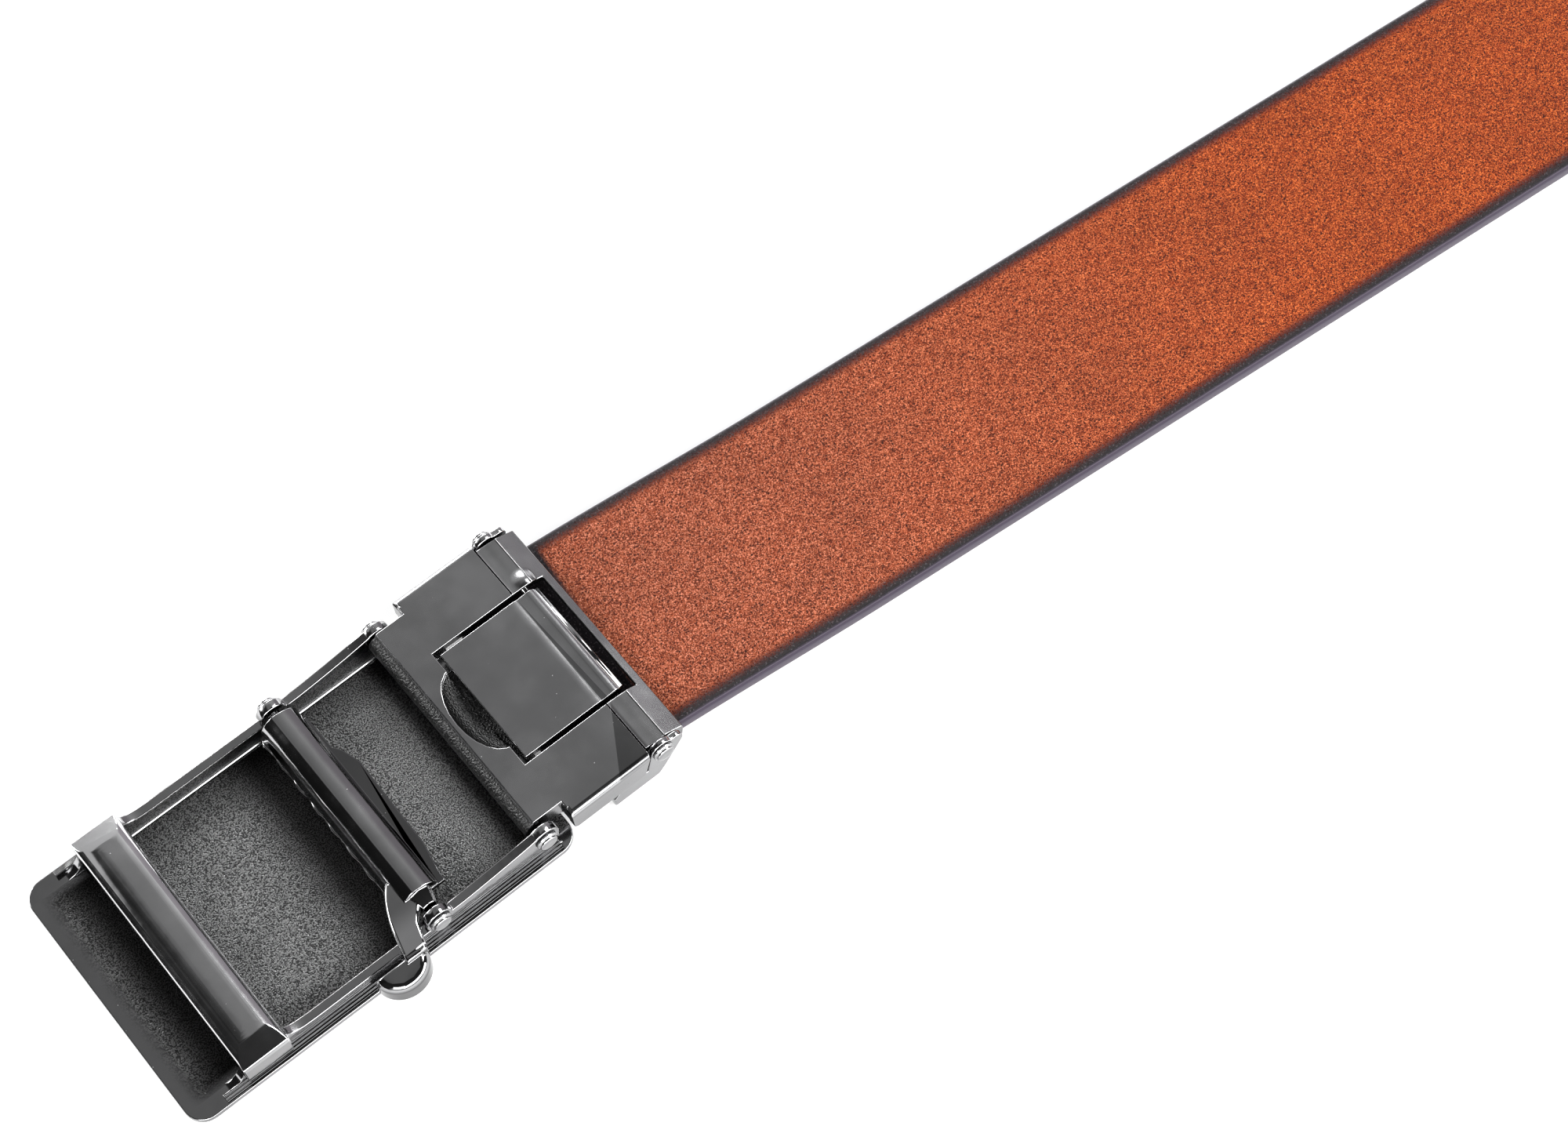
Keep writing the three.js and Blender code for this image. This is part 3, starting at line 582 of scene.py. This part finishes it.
# Worn tooth edge. The tooth along the barrel's lower left edge is chipped bright and wavy
# where it has caught on the strap's track.
tooth_random = random.Random(4)
tooth_x = -35.72 * mm
tooth_z = 3.5 * mm
tooth_start = -15.2 * mm
tooth_end = 17.4 * mm
tooth_steps = 56
tooth_swell = 0.22 * mm
tooth_swell_change = 0.12 * mm
tooth_wave = 0.12 * mm
tooth_wave_turn = 0.9
tooth_chip = 0.08 * mm
tooth_sections = []
for step in range(tooth_steps + 1):
    y = tooth_start + (tooth_end - tooth_start) * step / tooth_steps
    swell = tooth_swell + tooth_swell_change * tooth_random.random()
    x = tooth_x + tooth_wave * math.sin(step * tooth_wave_turn) + tooth_chip * tooth_random.random()
    tooth_sections.append([
        (x - swell, y, tooth_z), (x, y, tooth_z - swell), (x + swell, y, tooth_z), (x, y, tooth_z + swell),
    ])
tooth_bm = bmesh.new()
sweep(tooth_bm, tooth_sections)
tooth_edge = new_piece("worn_tooth_edge", tooth_bm, rivet_metal, smooth=True)
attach(tooth_edge, "pawl")

# Clamp shell. Satin plating over a bent and cast box, rolled down to a crease before the
# mouth, with the edges round its window painted lighter as a painted highlight. The hinge edge
# and the thumb notch are left rough and tinted near black. The top swells softly at the
# window's upper right corner, and mirrors a dark streak.
shell_metal, shell_tree, shell_shader, shell_plating, shell_place = plated(
    "satin gunmetal", 0.52, 0.2, 0.25
)
notch_top = 7.45 * mm
notch_left = -14.5 * mm
notch_right = -8.7 * mm
notch_half = 8.1 * mm
hinge_edge = -15.0 * mm
near_black_tint = (0.07, 0.07, 0.07, 1)
rough_depth = 0.2 * mm
streak_slope = 0.6
streak_left = 9.9 * mm
streak_right = 3.75 * mm
streak_colour = (0.06, 0.06, 0.06, 1)
streak_strength = 0.62
swell_middle = (5.7 * mm, 11.8 * mm, 0)
swell_radius = 2.1 * mm
swell_height = 0.45 * mm

shell_x, shell_y, shell_z = axes(shell_tree, shell_place)
in_notch = product(
    shell_tree, fade(shell_tree, shell_z, notch_top, notch_top - 0.25 * mm),
    fade(shell_tree, shell_x, notch_left - 0.1 * mm, notch_left),
    fade(shell_tree, shell_x, notch_right + 0.1 * mm, notch_right),
    fade(shell_tree, number(shell_tree, "ABSOLUTE", shell_y), notch_half + 0.1 * mm, notch_half),
)
on_hinge_edge = fade(shell_tree, shell_x, hinge_edge, hinge_edge - 0.3 * mm)
rough_cast = number(shell_tree, "MAXIMUM", in_notch, on_hinge_edge)
# The hinge edge and the thumb notch are tinted near black.
tint(shell_tree, shell_shader, rough_cast, near_black_tint)
# Painted shade: the shell's top is painted darker over the roll before the crease.
shell_tone_with_roll_shade = fade(shell_tree, shell_x, 3.6 * mm, 5.0 * mm, 0.48, 0.34)
shell_tree.links.new(shell_tone_with_roll_shade, shell_plating.inputs["Tone"])
on_top = fade(shell_tree, shell_z, 7.0 * mm, 7.2 * mm)
streak_line = number(shell_tree, "MULTIPLY_ADD", shell_y, -streak_slope, shell_x)
dark_streak = product(
    shell_tree, fade(shell_tree, streak_line, streak_left, streak_left + 0.15 * mm),
    fade(shell_tree, shell_x, streak_right, streak_right - 0.4 * mm), on_top, streak_strength,
)
tint(shell_tree, shell_shader, dark_streak, streak_colour)
shell_rough = number(shell_tree, "MULTIPLY_ADD", rough_cast, 0.15, shell_plating.outputs["Roughness"])
shell_tree.links.new(shell_rough, shell_shader.inputs["Roughness"])
rough_grain = shader_node(
    shell_tree, "ShaderNodeTexNoise", {"Vector": shell_place, "Scale": 3300, "Detail": 2}
).outputs["Fac"]
add_relief(shell_tree, shell_shader, product(shell_tree, rough_grain, rough_cast), rough_depth)
from_swell = from_upright_line(shell_tree, shell_place, swell_middle)
swell = product(shell_tree, fade(shell_tree, from_swell, swell_radius, 0), on_top)
add_relief(shell_tree, shell_shader, swell, swell_height)
finish_solid("clamp_shell", shell_metal, 0.17 * mm)

# Clamp front. The plate under the strap, whose two ears come up to hold the flap's pin. It
# is cast in one and plated like the shell.
front_metal = plated("ear gunmetal", 0.52, 0.12, 0.8)[0]
finish_solid("clamp_front", front_metal, 0.15 * mm)

# Locking flap. A small satin casting with a rolled end round its pin. Beside the roll it
# mirrors a narrow dark wedge, wider toward the flap's lower side.
flap_metal, flap_tree, flap_shader, _, flap_place = plated("flap gunmetal", 0.5, 0.2, 0.25)
wedge_left = 2.88 * mm
wedge_left_slope = -0.023
wedge_right = 3.54 * mm
wedge_right_slope = 0.0374
wedge_colour = (0.05, 0.05, 0.05, 1)
wedge_strength = 0.5
flap_x, flap_y = axes(flap_tree, flap_place)[:2]
left_line = number(flap_tree, "MULTIPLY_ADD", flap_y, wedge_left_slope, flap_x)
right_line = number(flap_tree, "MULTIPLY_ADD", flap_y, wedge_right_slope, flap_x)
wedge = product(
    flap_tree, fade(flap_tree, left_line, wedge_left, wedge_left + 0.07 * mm),
    fade(flap_tree, right_line, wedge_right, wedge_right - 0.08 * mm), wedge_strength,
)
tint(flap_tree, flap_shader, wedge, wedge_colour)
finish_solid("cam_flap", flap_metal, 0.15 * mm)

# Rolled lip of the flap. A thin bright bead along the right side of the flap's barrel, cast
# in one with the flap and left smooth.
lip_x = 6.25 * mm
lip_z = 6.7 * mm
lip_radius = 0.42 * mm
lip_ends = (-9.3 * mm, 9.8 * mm)
lip_sides = 12
lip_ring = [
    (lip_x + lip_radius * math.cos(turn), lip_z + lip_radius * math.sin(turn))
    for turn in (math.tau * side / lip_sides for side in range(lip_sides))
]
lip_bm = bmesh.new()
sweep(lip_bm, [[(x, y, z) for x, z in lip_ring] for y in lip_ends])
flap_lip = new_piece("flap_lip", lip_bm, smooth_metal, smooth=True)
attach(flap_lip, "flap")

# Strap. Split leather, its napped flesh side up. The edges are burnished black and painted,
# the burnish spreads raggedly over the face, and the end inside the clamp is painted near black as a
# painted shadow.
strap_width = 35 * mm
strap_thickness = 3 * mm
strap_insert = 15.5 * mm
strap_free = 181 * mm
strap_tip = 19 * mm
tip_start = strap_free - strap_tip
strap_settle = 38 * mm
strap_rise = 1.25 * mm
strap_edge = 0.9 * mm
strap_mouth = Vector((9.3 * mm, -0.1004 * mm, 0))
strap_yaw = math.radians(-5.2)
tip_power = 2.4
corner_steps = 6
settle_steps = 16
straight_steps = 10
tip_shares = (0.15, 0.3, 0.42, 0.53, 0.62, 0.7, 0.77, 0.83, 0.88, 0.92, 0.95, 0.975, 0.99, 0.995)
burnish_start = 15.4 * mm
burnish_rag = 0.8 * mm
paint_start = 16.95 * mm
nap_depth = 0.5 * mm
glossy_black = (0.012, 0.009, 0.012, 1)
dusty_black = (0.09, 0.075, 0.085, 1)
edge_paint = (0.034, 0.024, 0.042, 1)
nap_stops = [
    (0.42, (0.02, 0.006, 0.004)),
    (0.46, (0.15, 0.036, 0.014)),
    (0.5, (0.36, 0.078, 0.028)),
    (0.54, (0.58, 0.15, 0.06)),
    (0.59, (1.0, 0.5, 0.35)),
]

leather = bpy.data.materials.new("strap leather")
leather.use_nodes = True
leather_tree = leather.node_tree
leather_shader = leather_tree.nodes["Principled BSDF"]
leather_place = shader_node(leather_tree, "ShaderNodeUVMap", uv_map="strap").outputs["UV"]
strap_along, from_centre_line = axes(leather_tree, leather_place)[:2]
into_tip = number(leather_tree, "MULTIPLY_ADD", strap_along, 1 / strap_tip, 1 - strap_free / strap_tip)
tip_share = number(leather_tree, "POWER", number(leather_tree, "MAXIMUM", into_tip, 0), tip_power)
across_share = product(leather_tree, from_centre_line, 2 / strap_width)
rim_share = number(leather_tree, "MULTIPLY_ADD", across_share, across_share, tip_share)
strap_across = product(leather_tree, number(leather_tree, "SQRT", rim_share), strap_width / 2)

fibres = shader_node(
    leather_tree, "ShaderNodeTexNoise",
    {"Vector": leather_place, "Scale": 4600, "Detail": 2, "Roughness": 0.7, "Distortion": 1.2},
)
tufts = shader_node(
    leather_tree, "ShaderNodeTexNoise",
    {"Vector": leather_place, "Scale": 900, "Detail": 4, "Roughness": 0.7, "Distortion": 0.8},
)
hide_clouds = shader_node(
    leather_tree, "ShaderNodeTexNoise", {"Vector": leather_place, "Scale": 60, "Detail": 3}
)
finer_nap = product(leather_tree, fibres.outputs["Fac"], 0.85)
nap = number(leather_tree, "MULTIPLY_ADD", tufts.outputs["Fac"], 0.15, finer_nap)
nap_colour = colour_ramp(leather_tree, nap, nap_stops)
cloud_shade = fade(leather_tree, hide_clouds.outputs["Fac"], 0.3, 0.7, 0.9, 1.04)
# Painted shade: the leather is painted a little darker near the clamp.
near_clamp_shade = fade(leather_tree, strap_along, 2 * mm, 60 * mm, 0.84, 0.88)
leather_shade = product(leather_tree, cloud_shade, near_clamp_shade)
green_share = fade(leather_tree, strap_along, 5 * mm, 130 * mm, 0.72, 0.48)
blue_share = fade(leather_tree, strap_along, 5 * mm, 130 * mm, 0.58, 0.12)
shade_colour = shader_node(
    leather_tree, "ShaderNodeCombineColor",
    {
        "Red": leather_shade,
        "Green": product(leather_tree, leather_shade, green_share),
        "Blue": product(leather_tree, leather_shade, blue_share),
    },
)
hide_colour = mixed(leather_tree, 1, nap_colour, shade_colour.outputs["Color"], "MULTIPLY")

ragged = fade(leather_tree, nap, 0.38, 0.62, -burnish_rag, burnish_rag)
ragged_across = number(leather_tree, "ADD", strap_across, ragged)
burnished = fade(leather_tree, ragged_across, burnish_start, burnish_start + 1.1 * mm)
# Painted shadow: the end inside the clamp is painted near black.
painted_clamp_shadow = fade(leather_tree, strap_along, 0.4 * mm, -0.6 * mm)
burnish_and_shadow = number(leather_tree, "MAXIMUM", burnished, painted_clamp_shadow)
painted = fade(leather_tree, strap_across, paint_start, paint_start + 0.25 * mm)
dust = shader_node(
    leather_tree, "ShaderNodeTexNoise", {"Vector": leather_place, "Scale": 3000, "Detail": 2}
)
dust_share = fade(leather_tree, dust.outputs["Fac"], 0.55, 0.7)
burnish_and_shadow_colour = mixed(leather_tree, dust_share, glossy_black, dusty_black)
strap_colour = mixed(leather_tree, burnish_and_shadow, hide_colour, burnish_and_shadow_colour)
strap_colour = mixed(leather_tree, painted, strap_colour, edge_paint)
leather_tree.links.new(strap_colour, leather_shader.inputs["Base Color"])
leather_rough = fade(leather_tree, burnished, 0, 1, 0.92, 0.5)
leather_rough = number(leather_tree, "MULTIPLY_ADD", painted, -0.18, leather_rough)
leather_tree.links.new(leather_rough, leather_shader.inputs["Roughness"])
leather_shader.inputs["Specular IOR Level"].default_value = 0.35
nap_height = product(leather_tree, nap, number(leather_tree, "SUBTRACT", 1, painted))
leather_relief = shader_node(
    leather_tree, "ShaderNodeBump", {"Height": nap_height, "Distance": nap_depth}
)
leather_tree.links.new(leather_relief.outputs["Normal"], leather_shader.inputs["Normal"])


def strap_height(along):
    """Height of the strap's underside: it comes down from the clamp to the floor."""
    share = min(max(along / strap_settle, 0), 1)
    return strap_rise * (1 - share * share * (3 - 2 * share))


def strap_half(along):
    """Half width, drawn in to a round tip."""
    into_the_tip = max(0, along - tip_start) / strap_tip
    return strap_width / 2 * math.sqrt(max(0, 1 - into_the_tip ** tip_power))


def strap_section(along):
    """Points round the strap at one place along it."""
    half = strap_half(along)
    middle = strap_thickness / 2
    points = []
    for side_y, side_z, start in ((1, 1, 0), (-1, 1, 90), (-1, -1, 180), (1, -1, 270)):
        for step in range(corner_steps + 1):
            angle = math.radians(start + 90 * step / corner_steps)
            y = side_y * (half - strap_edge) + strap_edge * math.cos(angle)
            z = middle + side_z * (middle - strap_edge) + strap_edge * math.sin(angle)
            points.append((y, z + strap_height(along)))
    return points


strap_stations = [-strap_insert, -0.5 * strap_insert, 0]
strap_stations += [strap_settle * step / settle_steps for step in range(1, settle_steps + 1)]
straight_step = (tip_start - strap_settle) / straight_steps
strap_stations += [strap_settle + straight_step * step for step in range(1, straight_steps + 1)]
strap_stations += [tip_start + strap_tip * share for share in tip_shares]
strap_bm = bmesh.new()
sweep(strap_bm, [[(station, y, z) for y, z in strap_section(station)] for station in strap_stations])
strap_uv = strap_bm.loops.layers.uv.new("strap")
for face in strap_bm.faces:
    for corner in face.loops:
        corner[strap_uv].uv = (corner.vert.co.x, corner.vert.co.y)
bmesh.ops.rotate(strap_bm, verts=strap_bm.verts, cent=(0, 0, 0), matrix=Matrix.Rotation(strap_yaw, 3, "Z"))
bmesh.ops.translate(strap_bm, verts=strap_bm.verts, vec=strap_mouth)
leather_strap = new_piece("leather_strap", strap_bm, leather, smooth=True)
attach(leather_strap, "clamp")
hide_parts("strap")
